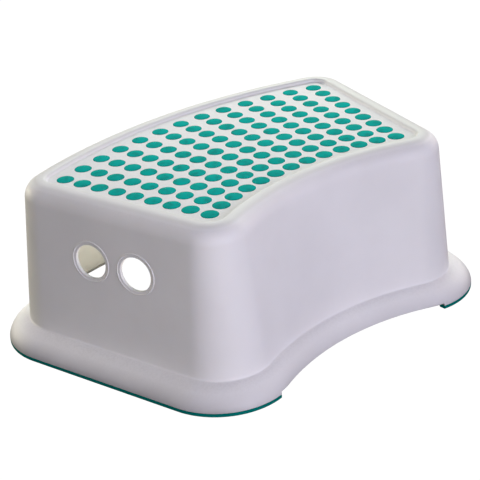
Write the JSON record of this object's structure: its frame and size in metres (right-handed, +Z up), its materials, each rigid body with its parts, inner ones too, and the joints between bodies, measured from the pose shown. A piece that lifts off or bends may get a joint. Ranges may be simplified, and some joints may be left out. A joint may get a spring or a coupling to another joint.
{
  "type": "one-step children's stool",
  "caption": "Low moulded step stool with a hollow curved front, hand holes in both ends, rubber grip dots on the tread and rubber strips under its feet.",
  "frame": {"origin": "middle of the footprint, on the floor", "axes": "+X along the stool's length, +Y towards its bulging back, +Z up"},
  "size_m": [0.37, 0.2638, 0.131],
  "materials": {
    "white_plastic": "fine matt grain on moulded white polypropylene",
    "teal_rubber": "smooth satin teal thermoplastic rubber"
  },
  "bodies": {
    "root": {"step_shell": "white_plastic", "grip_strip_1": "teal_rubber", "grip_strip_2": "teal_rubber", "grip_strip_3": "teal_rubber", "grip_strip_4": "teal_rubber", "grip_strip_5": "teal_rubber", "grip_strip_6": "teal_rubber", "grip_strip_7": "teal_rubber", "grip_strip_8": "teal_rubber", "grip_strip_9": "teal_rubber", "foot_grip_left": "teal_rubber", "foot_grip_right": "teal_rubber"}
  },
  "joints": []
}
